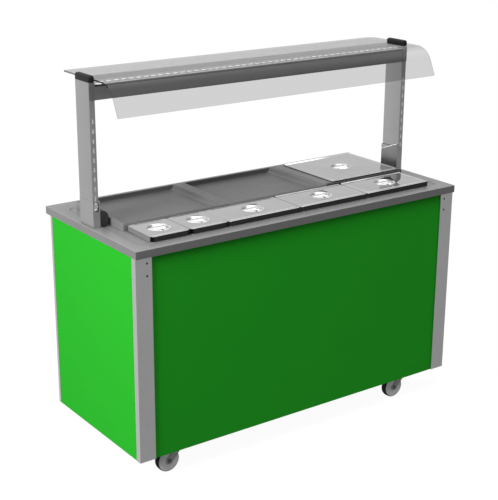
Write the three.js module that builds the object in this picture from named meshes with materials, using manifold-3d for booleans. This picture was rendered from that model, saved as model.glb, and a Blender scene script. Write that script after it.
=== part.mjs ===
// Mobile hot-food serving counter (steam table): heated cupboard on casters, a worktop with
// lift-out food pans and shallow trays, and a heated gantry with a curved glass screen.
// Millimetres, +Z up, floor at z = 0, origin on the floor under the middle of the worktop.
// Lengths along the counter (u) are counted from the left end of the worktop and depths (v)
// from its front edge, then shifted to the centred frame when a shape is made.
import * as THREE from 'three';
import { mergeVertices } from 'three/addons/utils/BufferGeometryUtils.js';
import Module from 'manifold-3d';

const wasm = await Module();
wasm.setup();

// ---------------------------------------------------------------- driving dimensions
const W = 1505;            // worktop length
const D = 675;             // worktop depth
const TOP = 900;           // worktop height
const SKIRT = 29;          // height of the worktop's folded edge
const CAB_BOTTOM = 94;     // underside of the cladding
const CAB_FRONT = 8.7;     // face of the front corner strips
const CAB_REAR = 640;      // face of the rear corner strips
const CAB_SIDE = 1.5;      // face of the end strips
const STRIP_FRONT = 65.8;  // width of a front corner strip
const STRIP_SIDE = 26;     // its return on the end
const STRIP_REAR = 14;     // rear corner strip, on the end
const GAP = 0.3;           // running gap between touching pieces
const RECESS = { u0: 50, u1: 1455, v0: 45, v1: 596, r: 35, z: 897 };
const WELL = { u0: 102, u1: 1405.5, v0: 66, v1: 575 };
const WELL_FLOOR = 700;
const SHEET = 2;
const PAN_Z = 750;         // underside of the food pans
const LID_Z = 920;         // top of the front lids
const TRAY_Z = 926;        // top of the rear trays
const DISH_Z = 907;        // floor of the rear trays
const LID6_Z = 931;        // top of the large lid
const POST = { u0: 9.7, u1: 32.7, v0: 311, v1: 411, z0: 1000.3, z1: 1427 };
const SOCKET = { u0: 9.7, u1: 37.7, z0: 900.3, z1: 1000 };
const BEAM = { z0: 1363.6, z1: 1419, top: 1431.7, lip: 330 };
const GLASS = { u0: 29.5, u1: 1502, under: 1432, t: 6, rear: 533, flat: 255.8, r: 93.1, sweep: 65.8, tipZ: 1328.5, corner: 40 };
const CAP = { v0: 309, v1: 413, z0: 1427.3, z1: 1451 };
const CASTER_U = [194, 1311];
const CASTER_V = [61, 587.7];
const WHEEL_R = 46.5;
const WHEEL_W = 30;
const TRAIL = 49;          // wheel axle behind the swivel axis
const BASE_Z = 122;        // underside of the chassis plate
const LINER_TOP = 640;
const DOOR = { z0: 134, z1: 622, inner: [609, 619], outer: [622.5, 632.5] };
const FASCIA_Z = 645;

// ---------------------------------------------------------------- helpers
const X = (u) => u - W / 2;
const Y = (v) => v - D / 2;

function closed(geo) {
  const g = geo.index ? geo.toNonIndexed() : geo.clone();
  for (const k of Object.keys(g.attributes)) if (k !== 'position') g.deleteAttribute(k);
  const m = mergeVertices(g, 1e-4);
  const a = m.index.array, p = m.attributes.position.array, keep = [];
  for (let i = 0; i < a.length; i += 3) {
    if (a[i] !== a[i + 1] && a[i + 1] !== a[i + 2] && a[i] !== a[i + 2]) keep.push(a[i], a[i + 1], a[i + 2]);
  }
  let vol = 0;
  for (let i = 0; i < keep.length; i += 3) {
    const [A, B, C] = [keep[i] * 3, keep[i + 1] * 3, keep[i + 2] * 3];
    vol += p[A] * (p[B + 1] * p[C + 2] - p[B + 2] * p[C + 1]) - p[A + 1] * (p[B] * p[C + 2] - p[B + 2] * p[C]) + p[A + 2] * (p[B] * p[C + 1] - p[B + 1] * p[C]);
  }
  if (vol < 0) for (let i = 0; i < keep.length; i += 3) [keep[i + 1], keep[i + 2]] = [keep[i + 2], keep[i + 1]];
  const out = new THREE.BufferGeometry();
  out.setAttribute('position', new THREE.BufferAttribute(p.slice(), 3));
  out.setIndex(keep);
  return out;
}
const solid = (geo) => {
  const g = closed(geo);
  return new wasm.Manifold(new wasm.Mesh({ numProp: 3, vertProperties: new Float32Array(g.attributes.position.array), triVerts: new Uint32Array(g.index.array) }));
};
const geometry = (man) => {
  const m = man.getMesh();
  const g = new THREE.BufferGeometry();
  g.setAttribute('position', new THREE.BufferAttribute(new Float32Array(m.vertProperties), 3));
  g.setIndex([...m.triVerts]);
  return closed(g);
};
function box(u0, u1, v0, v1, z0, z1) {
  const g = new THREE.BoxGeometry(u1 - u0, v1 - v0, z1 - z0);
  g.translate(X((u0 + u1) / 2), Y((v0 + v1) / 2), (z0 + z1) / 2);
  return g;
}
// outline in (v, z), extruded along the counter
function prismU(points, u0, u1) {
  const s = new THREE.Shape(points.map(([v, z]) => new THREE.Vector2(Y(v), z)));
  const g = new THREE.ExtrudeGeometry(s, { depth: u1 - u0, bevelEnabled: false });
  const m = new THREE.Matrix4().set(0, 0, 1, X(u0), 1, 0, 0, 0, 0, 1, 0, 0, 0, 0, 0, 1);
  g.applyMatrix4(m);
  return g;
}
// outline in (u, z), extruded across the counter
function prismV(points, v0, v1) {
  const s = new THREE.Shape(points.map(([u, z]) => new THREE.Vector2(X(u), z)));
  const g = new THREE.ExtrudeGeometry(s, { depth: v1 - v0, bevelEnabled: false });
  const m = new THREE.Matrix4().set(1, 0, 0, 0, 0, 0, -1, Y(v1), 0, 1, 0, 0, 0, 0, 0, 1);
  g.applyMatrix4(m);
  return g;
}
// outline in (u, v), extruded upwards
function prismZ(points, z0, z1) {
  const s = new THREE.Shape(points.map(([u, v]) => new THREE.Vector2(X(u), Y(v))));
  const g = new THREE.ExtrudeGeometry(s, { depth: z1 - z0, bevelEnabled: false });
  g.translate(0, 0, z0);
  return g;
}
function ring(u0, u1, v0, v1, r, z, n = 2) {
  const pts = [];
  const c = [[u1 - r, v0 + r, -90], [u1 - r, v1 - r, 0], [u0 + r, v1 - r, 90], [u0 + r, v0 + r, 180]];
  for (const [cu, cv, a0] of c) {
    for (let i = 0; i <= n; i++) {
      const a = THREE.MathUtils.degToRad(a0 + (90 * i) / n);
      pts.push([X(cu + r * Math.cos(a)), Y(cv + r * Math.sin(a)), z]);
    }
  }
  return pts;
}
// skin through a stack of rings with the same point count, closed by a cap at each end
function loft(rings) {
  const n = rings[0].length, pos = [], idx = [];
  for (const r of rings) for (const p of r) pos.push(...p);
  for (let k = 0; k + 1 < rings.length; k++) {
    for (let i = 0; i < n; i++) {
      const a = k * n + i, b = k * n + ((i + 1) % n), c = (k + 1) * n + ((i + 1) % n), d = (k + 1) * n + i;
      idx.push(a, b, c, a, c, d);
    }
  }
  const last = (rings.length - 1) * n;
  for (let i = 1; i + 1 < n; i++) { idx.push(0, i + 1, i); idx.push(last, last + i, last + i + 1); }
  const g = new THREE.BufferGeometry();
  g.setAttribute('position', new THREE.BufferAttribute(new Float32Array(pos), 3));
  g.setIndex(idx);
  return g;
}
// profile of [radius, height] pairs turned about an axis through (u, v, z)
function turned(profile, axis, u, v, z, seg = 24, phase = 0) {
  const g = new THREE.LatheGeometry(profile.map(([r, h]) => new THREE.Vector2(r, h)), seg, phase, Math.PI * 2);
  if (axis === 'z') g.rotateX(Math.PI / 2);
  if (axis === 'x') g.rotateZ(-Math.PI / 2);
  g.translate(X(u), Y(v), z);
  return g;
}
const rod = (r, h0, h1) => [[0, h0], [r, h0], [r, h1], [0, h1]];

// ---------------------------------------------------------------- finishes
const FINISH = {
  stainless: [0x9a9a9a, 0.38, 1], stainless_dark: [0x6f6f6f, 0.4, 1], polished: [0xbababa, 0.12, 1],
  green: [0x1f9a1f, 0.5, 0], black: [0x1c1c1c, 0.55, 0], rubber: [0x151515, 0.85, 0], disc: [0x838383, 0.5, 0],
  zinc: [0x77797b, 0.45, 1], glass: [0xdfe6e4, 0.05, 0], reflector: [0xd5d5d5, 0.15, 1], quartz: [0xd8c9b8, 0.2, 0],
};
const part = new THREE.Group();
function add(name, geo, finish) {
  const [c, rough, metal] = FINISH[finish];
  const mat = new THREE.MeshStandardMaterial({ color: c, roughness: rough, metalness: metal });
  if (finish === 'glass') { mat.transparent = true; mat.opacity = 0.35; }
  const mesh = new THREE.Mesh(geo instanceof THREE.BufferGeometry ? closed(geo) : geometry(geo), mat);
  mesh.name = name;
  part.add(mesh);
}
const mirrorU = (geo) => { const g = closed(geo); g.scale(-1, 1, 1); return closed(g); };

// ---------------------------------------------------------------- worktop and well
{
  let top = solid(box(0, W, 0, D, TOP - SKIRT, TOP));
  top = top.subtract(solid(box(SHEET, W - SHEET, SHEET, D - SHEET, TOP - SKIRT - 5, TOP - 5)));
  top = top.subtract(solid(loft([ring(RECESS.u0, RECESS.u1, RECESS.v0, RECESS.v1, RECESS.r, RECESS.z, 4), ring(RECESS.u0, RECESS.u1, RECESS.v0, RECESS.v1, RECESS.r, TOP + 3, 4)])));
  top = top.subtract(solid(box(WELL.u0, WELL.u1, WELL.v0, WELL.v1, 880, TOP + 5)));
  add('worktop', top, 'stainless');

  const t = 1.5, z1 = TOP - 5 - GAP;
  let well = solid(box(WELL.u0 - t, WELL.u1 + t, WELL.v0 - t, WELL.v1 + t, WELL_FLOOR, z1));
  well = well.add(solid(box(WELL.u0 - 16, WELL.u1 + 16, WELL.v0 - 16, WELL.v1 + 16, z1 - t, z1)));
  well = well.subtract(solid(box(WELL.u0, WELL.u1, WELL.v0, WELL.v1, WELL_FLOOR + t, z1 + 5)));
  add('well_tank', well, 'stainless_dark');
}
// T-section bar between the two rows of pans
add('well_divider', prismU([[222, RECESS.z - GAP], [222, 894.2], [232.3, 894.2], [232.3, 868], [234.7, 868], [234.7, 894.2], [246, 894.2], [246, RECESS.z - GAP]], WELL.u0 + GAP, WELL.u1 - GAP), 'stainless');
// hairpin heater lying over the floor of the well
add('heating_element', prismZ([[150, 150], [1355, 150], [1355, 480], [150, 480], [150, 466], [1341, 466], [1341, 164], [150, 164]], 704, 712), 'zinc');
{
  let pipe = solid(turned(rod(11, 0, 27), 'z', 300, 545, 673, 16));
  pipe = pipe.add(solid(turned(rod(11, 545 - D / 2, 648 - D / 2), 'y', 300, D / 2, 673, 16)));
  pipe = pipe.add(solid(turned(rod(15, 641 - D / 2, 648 - D / 2), 'y', 300, D / 2, 673, 16)));
  pipe = pipe.subtract(solid(turned(rod(8, 20, 60), 'z', 300, 545, 673, 16)));
  pipe = pipe.intersect(solid(box(200, 400, 500, 700, 600, WELL_FLOOR - GAP)));
  add('drain_pipe', pipe, 'zinc');
  let lever = solid(turned(rod(9, 648.3 - D / 2, 656 - D / 2), 'y', 300, D / 2, 673, 16));
  lever = lever.add(solid(box(294, 306, 650, 654.5, 612, 673)));
  add('drain_lever', lever, 'black');
}

// ---------------------------------------------------------------- pans and lids
function pan(name, u0, u1, v0, v1, rimZ, flange, rim = 1.4) {
  const t = 1.2, a = flange, b = flange + 6, r = 14;
  add(name, loft([
    ring(u0 + b, u1 - b, v0 + b, v1 - b, r, PAN_Z), ring(u0 + a, u1 - a, v0 + a, v1 - a, r, rimZ),
    ring(u0, u1, v0, v1, 10, rimZ), ring(u0, u1, v0, v1, 10, rimZ + rim),
    ring(u0 + a + t, u1 - a - t, v0 + a + t, v1 - a - t, r - 1, rimZ + rim),
    ring(u0 + b + t, u1 - b - t, v0 + b + t, v1 - b - t, r - 1, PAN_Z + 1.5)]), 'stainless');
}
const HANDLE_R = 44;
function lid(name, u0, u1, v0, v1, zTop, zSkirt, corner) {
  const t = 1.5, cu = (u0 + u1) / 2, cv = (v0 + v1) / 2;
  let s = solid(loft([
    ring(u0 + t, u1 - t, v0 + t, v1 - t, corner - t, zTop - t, 3), ring(u0 + t, u1 - t, v0 + t, v1 - t, corner - t, zSkirt, 3),
    ring(u0, u1, v0, v1, corner, zSkirt, 3), ring(u0, u1, v0, v1, corner, zTop - 1.5, 3), ring(u0 + 1.5, u1 - 1.5, v0 + 1.5, v1 - 1.5, corner - 1.5, zTop, 3)]));
  s = s.add(solid(turned([[0, zTop - 15.5], [34, zTop - 15.5], [HANDLE_R + 1.5, zTop - 1], [0, zTop - 1]], 'z', cu, cv, 0, 20)));
  s = s.subtract(solid(turned([[0, zTop - 14], [33, zTop - 14], [HANDLE_R, zTop + 1], [0, zTop + 1]], 'z', cu, cv, 0, 20)));
  s = s.add(solid(prismV([[cu - 47, zTop - 1], [cu - 30, zTop - 1], [cu + 30, zTop - 1], [cu + 47, zTop - 1], [cu + 34, zTop + 4], [cu - 34, zTop + 4]], cv - 8, cv + 8)));
  add(name, s, 'polished');
}
const FRONT = [[96.5, 258.5], [261.5, 423.5], [426, 751], [755, 1080], [1084.5, 1409.5]];
FRONT.forEach(([u0, u1], i) => {
  pan(`pan_${i + 1}`, u0, u1, 57, 230.5, RECESS.z + GAP, 12, 2.7);
  lid(`lid_${i + 1}`, u0, u1, 56.5, 230.5, LID_Z, RECESS.z + 3.4, i < 2 ? 15 : 8);
});
pan('pan_6', 1063, 1417, 245.5, 570.5, TRAY_Z + GAP, 13);
lid('lid_6', 1059.5, 1421, 242.5, 574, LID6_Z, TRAY_Z + 2.1, 6);

// ---------------------------------------------------------------- rear trays
function tray(name, u0, u1, d) {
  const v0 = 233, v1 = 587, t = 1.5, sk = RECESS.z + GAP;
  add(name, loft([
    ring(d.fu0, d.fu1, d.fv0, d.fv1, 8, DISH_Z - t, 3), ring(d.u0 - 1, d.u1 + 1, d.v0 - 1, d.v1 + 1, 8, TRAY_Z - t, 3),
    ring(u0 + t, u1 - t, v0 + t, v1 - t, 2, TRAY_Z - t, 3), ring(u0 + t, u1 - t, v0 + t, v1 - t, 2, sk, 3),
    ring(u0, u1, v0, v1, 3, sk, 3), ring(u0, u1, v0, v1, 3, TRAY_Z - 1.2, 3), ring(u0 + 1.2, u1 - 1.2, v0 + 1.2, v1 - 1.2, 2.5, TRAY_Z, 3),
    ring(d.u0, d.u1, d.v0, d.v1, 8, TRAY_Z, 3), ring(d.fu0, d.fu1, d.fv0, d.fv1, 8, DISH_Z, 3)]), 'stainless');
}
tray('tray_left', 85.3, 541.3, { u0: 96, u1: 518, v0: 240, v1: 576, fu0: 112, fu1: 502, fv0: 318, fv1: 570 });
tray('tray_right', 541.8, 1018.5, { u0: 565, u1: 995, v0: 240, v1: 576, fu0: 581, fu1: 979, fv0: 318, fv1: 570 });
{
  // raised adaptor ring that carries the large pan
  const t = 1.5, sk = RECESS.z + GAP, u0 = 1018.9, u1 = 1424, v0 = 233, v1 = 587;
  let f = solid(loft([
    ring(u0 + t, u1 - t, v0 + t, v1 - t, 2, TRAY_Z - t, 2), ring(u0 + t, u1 - t, v0 + t, v1 - t, 2, sk, 2),
    ring(u0, u1, v0, v1, 3, sk, 2), ring(u0, u1, v0, v1, 3, TRAY_Z - 1.2, 2), ring(u0 + 1.2, u1 - 1.2, v0 + 1.2, v1 - 1.2, 2.5, TRAY_Z, 2)]));
  f = f.subtract(solid(box(1070, 1410, 252.5, 563.5, 880, 960)));
  add('pan_frame', f, 'stainless');
}

// ---------------------------------------------------------------- cabinet
{
  const zt = TOP - 5 - GAP, t = 2, c = CAB_SIDE, f = CAB_FRONT, r = CAB_REAR;
  const fl = [[c, f], [c + STRIP_FRONT, f], [c + STRIP_FRONT, f + t], [c + t, f + t], [c + t, f + STRIP_SIDE], [c, f + STRIP_SIDE]];
  const rl = [[c, r - STRIP_REAR], [c + t, r - STRIP_REAR], [c + t, r - t], [c + 40, r - t], [c + 40, r], [c, r]];
  const post = (pts) => prismZ(pts, CAB_BOTTOM, zt);
  // the top of each strip clears the folded edge of the worktop
  const trim = (g) => solid(g).subtract(solid(box(-5, SHEET + GAP, -5, 700, TOP - SKIRT - GAP, TOP))).subtract(solid(box(W - SHEET - GAP, W + 5, -5, 700, TOP - SKIRT - GAP, TOP)));
  add('corner_post_front_left', trim(post(fl)), 'stainless');
  add('corner_post_front_right', trim(mirrorU(post(fl))), 'stainless');
  add('corner_post_rear_left', trim(post(rl)), 'stainless');
  add('corner_post_rear_right', trim(mirrorU(post(rl))), 'stainless');
  add('front_panel', box(20, W - 20, 13.7, 15.7, CAB_BOTTOM, zt), 'green');
  const end = box(2.5, 4.5, f + STRIP_SIDE + GAP, r - STRIP_REAR - GAP, CAB_BOTTOM, TOP - SKIRT - GAP);
  add('end_panel_left', end, 'green');
  add('end_panel_right', mirrorU(end), 'green');
  add('base_plate', box(6, W - 6, 17, 636, BASE_Z, BASE_Z + 3), 'stainless_dark');
}
{
  // open-backed inner shell of the hot cupboard, with a ledge each side for the shelf
  const t = 1.5, z0 = BASE_Z + 3 + GAP;
  let s = solid(box(44, 1461, 38, 604, z0, LINER_TOP));
  s = s.subtract(solid(box(44 + t, 1461 - t, 38 + t, 620, z0 + t, LINER_TOP - t)));
  s = s.add(solid(box(45, 62, 60, 590, 392, 395))).add(solid(box(1443, 1460, 60, 590, 392, 395)));
  add('cupboard_liner', s, 'stainless_dark');
  add('cupboard_shelf', box(46, 1459, 42, 596, 395 + GAP, 397.3), 'stainless');
}
{
  const door = (name, u0, u1, [v0, v1], pullU) => {
    let s = solid(box(u0, u1, v0, v1, DOOR.z0, DOOR.z1));
    s = s.subtract(solid(box(u0 + 1.5, u1 - 1.5, v0 - 5, v1 - 1.5, DOOR.z0 + 1.5, DOOR.z1 - 1.5)));
    // recessed pull pressed into the face
    s = s.add(solid(box(pullU - 16.5, pullU + 16.5, v0 + 0.5, v1 - 1, 323.5, 436.5)));
    s = s.subtract(solid(box(pullU - 15, pullU + 15, v0 + 2, v1 + 5, 325, 435)));
    add(name, s, 'stainless');
  };
  door('door_left', 44, 762, DOOR.inner, 84);
  door('door_right', 743, 1461, DOOR.outer, 1421);
  const grooves = (z, d) => [[606, z], [606, z + d], [608, z + d], [608, z], [620, z], [620, z + d], [621.5, z + d], [621.5, z], [633.5, z], [633.5, z + d], [635.5, z + d]];
  add('door_top_track', prismU([[606, 612], [608, 612], [608, 626], [620, 626], [620, 612], [621.5, 612], [621.5, 626], [633.5, 626], [633.5, 612], [636.5, 612], [636.5, 628], [606, 628]], 43, 1462), 'stainless_dark');
  add('door_bottom_track', prismU([[606, 125.3], [636.3, 125.3], [636.3, CAB_BOTTOM], [638.3, CAB_BOTTOM], [638.3, 142], [633.5, 142], [633.5, 131], [621.5, 131], [621.5, 140], [620, 140], [620, 131], [608, 131], [608, 140], [606, 140]], 43, 1462), 'stainless_dark');
}
{
  let f = solid(box(43, 1462, 637, 639.5, FASCIA_Z, TOP - 5 - GAP));
  f = f.subtract(solid(turned(rod(12.5, 290, 310), 'y', 300, D / 2, 673, 16)));
  add('control_fascia', f, 'stainless');
  const knob = (name, u) => {
    let k = solid(turned([[0, 639.8 - D / 2], [22, 639.8 - D / 2], [22, 644 - D / 2], [17, 646 - D / 2], [16, 661 - D / 2], [14, 663 - D / 2], [0, 663 - D / 2]], 'y', u, D / 2, 785, 24));
    k = k.add(solid(box(u - 2, u + 2, 642, 664.5, 785, 803)));
    add(name, k, 'black');
  };
  knob('knob_cupboard', 1080);
  knob('knob_well', 1180);
  add('rocker_switch', prismU([[642.2, 772], [645, 771.5], [644.2, 785], [647, 798.5], [642.2, 798]], 1268, 1284), 'black');
  add('mains_inlet', turned([[0, 639.8 - D / 2], [21, 639.8 - D / 2], [21, 643 - D / 2], [15, 644 - D / 2], [15, 654 - D / 2], [11, 662 - D / 2], [6, 662 - D / 2], [6, 650 - D / 2], [0, 650 - D / 2]], 'y', 1400, D / 2, 700, 20), 'black');
}

// ---------------------------------------------------------------- gantry
{
  const { u0, u1, v0, v1 } = POST, t = 1.5;
  let p = solid(box(u0, u1, v0, v1, POST.z0, POST.z1)).subtract(solid(box(u0 + t, u1 - t, v0 + t, v1 - t, POST.z0 - 5, POST.z1 + 5)));
  const mid = (u0 + u1) / 2;
  for (let i = 0; i < 9; i++) {
    const z = 1012 + (1290 - 1012) * i / 8;
    p = p.subtract(solid(box(mid - 3, mid + 3, v0 - 2, v0 + 4, z - 9, z + 9)));
  }
  const left = geometry(p);
  add('gantry_post_left', left, 'stainless');
  add('gantry_post_right', mirrorU(left), 'stainless');
  let s = solid(box(SOCKET.u0, SOCKET.u1, v0, v1, SOCKET.z0, SOCKET.z1)).subtract(solid(box(SOCKET.u0 + 2, SOCKET.u1 - 2, v0 + 2, v1 - 2, SOCKET.z0 - 5, SOCKET.z1 + 5)));
  s = s.subtract(solid(box(SOCKET.u0 + 5, SOCKET.u1 - 5, v0 - 2, v0 + 6, 961, 996)));
  const sock = geometry(s);
  add('gantry_socket_left', sock, 'stainless');
  add('gantry_socket_right', mirrorU(sock), 'stainless');
  // rounded cover where the wiring comes up out of the worktop into the left post
  add('cable_boot_left', prismV([[38, 900.3], [50.3, 900.3], [50.3, 897.3], [70.5, 897.3], [76, 914], [77.8, 930], [75.5, 942], [69, 951], [60, 957], [50, 959], [38, 959]], 321, 401), 'black');
}
{
  const { z0, z1, top, lip } = BEAM, v0 = POST.v0, v1 = POST.v1, t = 2;
  add('gantry_beam', prismU([[v0, z0], [v0 + t, z0], [v0 + t, z1 - 1], [lip + 0.7, top - t], [v1 - t, top - t], [v1 - t, z0], [v1, z0], [v1, top], [lip, top], [v0, z1]], POST.u1 + GAP, W - POST.u1 - GAP), 'stainless');
  const lr = prismU([[322, 1366], [323.2, 1366], [341, 1414], [381, 1414], [398.8, 1366], [400, 1366], [382, 1415.2], [340, 1415.2]], 40, W - 40);
  const endPlate = (u) => solid(prismU([[324, 1367], [398, 1367], [381, 1414.6], [341, 1414.6]], u, u + 2));
  add('lamp_reflector', solid(lr).add(endPlate(56)).add(endPlate(W - 58)), 'reflector');
  add('heat_lamp', turned(rod(6, 58.3 - W / 2, W - 58.3 - W / 2), 'x', W / 2, 361, 1388, 12), 'quartz');
  const g = GLASS, a = THREE.MathUtils.degToRad(g.sweep), outer = [], inner = [];
  const zt = g.under + g.t, cz = zt - g.r;
  outer.push([g.rear, zt]); inner.push([g.rear, g.under]);
  for (let i = 0; i <= 12; i++) {
    const b = (a * i) / 12;
    outer.push([g.flat - g.r * Math.sin(b), cz + g.r * Math.cos(b)]);
    inner.push([g.flat - (g.r - g.t) * Math.sin(b), cz + (g.r - g.t) * Math.cos(b)]);
  }
  const e = outer[outer.length - 1], run = (e[1] - g.tipZ) / Math.sin(a);
  outer.push([e[0] - run * Math.cos(a), e[1] - run * Math.sin(a)]);
  const q = outer[outer.length - 1];
  inner.push([q[0] + g.t * Math.sin(a), q[1] - g.t * Math.cos(a)]);
  // the pane runs past the right post, so it is notched there round the web of the cap
  let pane = solid(prismU([...outer, ...inner.reverse()], g.u0, g.u1));
  pane = pane.subtract(solid(box(W - g.u0, g.u1 + 5, CAP.v0 - 0.5, CAP.v1 + 0.5, g.under - 5, zt + 5)));
  const k = g.corner, round = solid(turned(rod(k, g.under - 6, zt + 6), 'z', g.u1 - k, g.rear - k, 0, 40));
  pane = pane.subtract(solid(box(g.u1 - k, g.u1 + 5, g.rear - k, g.rear + 5, g.under - 5, zt + 5)).subtract(round));
  add('glass_screen', pane, 'glass');
  let c = solid(loft([ring(POST.u0, POST.u1, CAP.v0, CAP.v1, 3, CAP.z0), ring(POST.u0, POST.u1, CAP.v0, CAP.v1, 3, CAP.z1 - 4), ring(POST.u0 + 3, POST.u1 - 3, CAP.v0 + 3, CAP.v1 - 3, 2, CAP.z1)]));
  c = c.subtract(solid(box(g.u0 - 0.5, POST.u1 + 5, CAP.v0 - 5, CAP.v1 + 5, g.under - 0.4, g.under + g.t + 0.4)));
  const cap = geometry(c);
  add('end_cap_left', cap, 'black');
  add('end_cap_right', mirrorU(cap), 'black');
}

// ---------------------------------------------------------------- casters
{
  const hy = WHEEL_W / 2, seg = 24;
  const place = [['front_left', 0, 0], ['front_right', 1, 0], ['rear_left', 0, 1], ['rear_right', 1, 1]];
  for (const [tag, i, j] of place) {
    const u = CASTER_U[i], v = CASTER_V[j], hu = u - TRAIL, hz = WHEEL_R;
    const leg = [[u - 23, 106], [u + 18, 106], [u + 18, 98], [u - 6, 72], [hu + 11, 36], [hu, 32.5], [hu - 11, 37], [hu - 14, 48], [hu - 7, 58], [u - 24, 93], [u - 23, 95]];
    let f = solid(prismV(leg, v - hy - 2.8, v - hy - 0.3)).add(solid(prismV(leg, v + hy + 0.3, v + hy + 2.8)));
    f = f.add(solid(box(u - 23, u + 18, v - hy - 2.8, v + hy + 2.8, 103, 106)));
    f = f.add(solid(turned(rod(24, 105, 112), 'z', u, v, 0, 20))).add(solid(turned(rod(28, 111, BASE_Z - GAP), 'z', u, v, 0, 20)));
    f = f.add(solid(turned(rod(5, v - D / 2 - hy - 4.5, v - D / 2 + hy + 4.5), 'y', hu, D / 2, hz, 12)));
    add(`caster_fork_${tag}`, f, 'zinc');
    const w = turned([[6, -hy], [34, -hy], [39, -hy + 1], [42, -hy + 1], [WHEEL_R - 1.5, -hy + 5], [WHEEL_R, 0], [WHEEL_R - 1.5, hy - 5], [42, hy - 1], [39, hy - 1], [34, hy], [6, hy], [6, -hy]], 'y', hu, v, hz, seg);
    add(`caster_wheel_${tag}`, w, 'rubber');
  }
}

export default part;
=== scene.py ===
"""Looks of the steam table unit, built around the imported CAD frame. Metres, +Z up."""

import math

import bmesh
import bpy
from mathutils import Matrix, Vector

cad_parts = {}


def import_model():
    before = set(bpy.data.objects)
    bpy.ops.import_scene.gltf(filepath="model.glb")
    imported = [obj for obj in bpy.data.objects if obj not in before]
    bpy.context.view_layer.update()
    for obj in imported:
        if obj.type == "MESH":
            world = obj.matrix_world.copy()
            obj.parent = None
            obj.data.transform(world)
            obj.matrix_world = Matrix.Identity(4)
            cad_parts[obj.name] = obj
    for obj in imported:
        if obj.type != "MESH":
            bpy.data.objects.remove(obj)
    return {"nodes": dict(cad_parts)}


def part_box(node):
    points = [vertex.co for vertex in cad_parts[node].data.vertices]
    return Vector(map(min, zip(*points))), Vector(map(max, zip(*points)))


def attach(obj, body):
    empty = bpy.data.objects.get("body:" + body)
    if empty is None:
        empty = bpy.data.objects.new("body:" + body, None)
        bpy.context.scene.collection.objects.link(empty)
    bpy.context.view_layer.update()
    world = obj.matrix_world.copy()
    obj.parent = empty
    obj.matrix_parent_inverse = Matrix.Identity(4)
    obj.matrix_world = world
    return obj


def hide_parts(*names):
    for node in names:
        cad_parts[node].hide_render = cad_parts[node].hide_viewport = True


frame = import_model()
NODES = frame["nodes"]
MM = 0.001


def bx(node):
    """A CAD node's box in millimetres: x0, x1, y0, y1, z0, z1."""
    lo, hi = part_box(node)
    return [round(v * 1000, 4) for v in (lo.x, hi.x, lo.y, hi.y, lo.z, hi.z)]


# ------------------------------------------------------------------ camera, light, floor
def camera():
    cam = bpy.data.cameras.new("camera")
    cam.lens, cam.sensor_width, cam.sensor_fit = 85.80, 36.0, "AUTO"
    cam.clip_start, cam.clip_end = 0.05, 200
    o = bpy.data.objects.new("camera", cam)
    bpy.context.scene.collection.objects.link(o)
    v = Vector((1.82498717, -0.584058787, 0.427994132))
    r = Matrix.Rotation(v.length, 3, v.normalized())  # world to right, down, forward
    m = Matrix((r[0], -r[1], -r[2])).transposed().to_4x4()
    m.translation = (-2.674756, -3.654545, 2.184851)
    o.matrix_world = m
    bpy.context.scene.camera = o


def world():
    w = bpy.data.worlds.new("studio")
    bpy.context.scene.world = w
    w.use_nodes = True
    nt = w.node_tree
    nt.nodes.clear()
    out = nt.nodes.new("ShaderNodeOutputWorld")
    bg = nt.nodes.new("ShaderNodeBackground")
    tc = nt.nodes.new("ShaderNodeTexCoord")
    dot = nt.nodes.new("ShaderNodeVectorMath")
    dot.operation = "DOT_PRODUCT"
    dot.inputs[1].default_value = (-0.06, 0.28, 0.08)
    add = nt.nodes.new("ShaderNodeMath")
    add.operation = "ADD"
    add.inputs[1].default_value = 0.42
    hi = nt.nodes.new("ShaderNodeMath")
    hi.operation = "MAXIMUM"
    low = nt.nodes.new("ShaderNodeMapRange")      # light thrown back up by the floor
    low.inputs["From Min"].default_value, low.inputs["From Max"].default_value = -0.05, 0.12
    low.inputs["To Min"].default_value, low.inputs["To Max"].default_value = 0.31, 0.10
    nt.links.new(low.outputs["Result"], hi.inputs[1])
    nt.links.new(tc.outputs["Generated"], dot.inputs[0])
    nt.links.new(dot.outputs["Value"], add.inputs[0])
    nt.links.new(add.outputs[0], hi.inputs[0])
    # bright soft ceiling
    sep = nt.nodes.new("ShaderNodeSeparateXYZ")
    nt.links.new(tc.outputs["Generated"], sep.inputs[0])
    nt.links.new(sep.outputs["Z"], low.inputs["Value"])
    up = nt.nodes.new("ShaderNodeMapRange")
    up.interpolation_type = "SMOOTHSTEP"
    up.inputs["From Min"].default_value, up.inputs["From Max"].default_value = 0.62, 0.80
    up.inputs["To Min"].default_value, up.inputs["To Max"].default_value = 0.0, 1.3
    nt.links.new(sep.outputs["Z"], up.inputs["Value"])
    tot = nt.nodes.new("ShaderNodeMath")
    tot.operation = "ADD"
    nt.links.new(hi.outputs[0], tot.inputs[0])
    nt.links.new(up.outputs["Result"], tot.inputs[1])
    nt.links.new(tot.outputs[0], bg.inputs["Strength"])
    bg.inputs["Color"].default_value = (1, 1, 1, 1)
    nt.links.new(bg.outputs[0], out.inputs[0])


def area(name, loc, target, size, power):
    d = bpy.data.lights.new(name, "AREA")
    d.shape, d.size, d.size_y, d.energy = "RECTANGLE", size[0], size[1], power
    o = bpy.data.objects.new(name, d)
    bpy.context.scene.collection.objects.link(o)
    o.location = loc
    o.rotation_euler = (Vector(target) - Vector(loc)).to_track_quat("-Z", "Y").to_euler()
    return o


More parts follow.
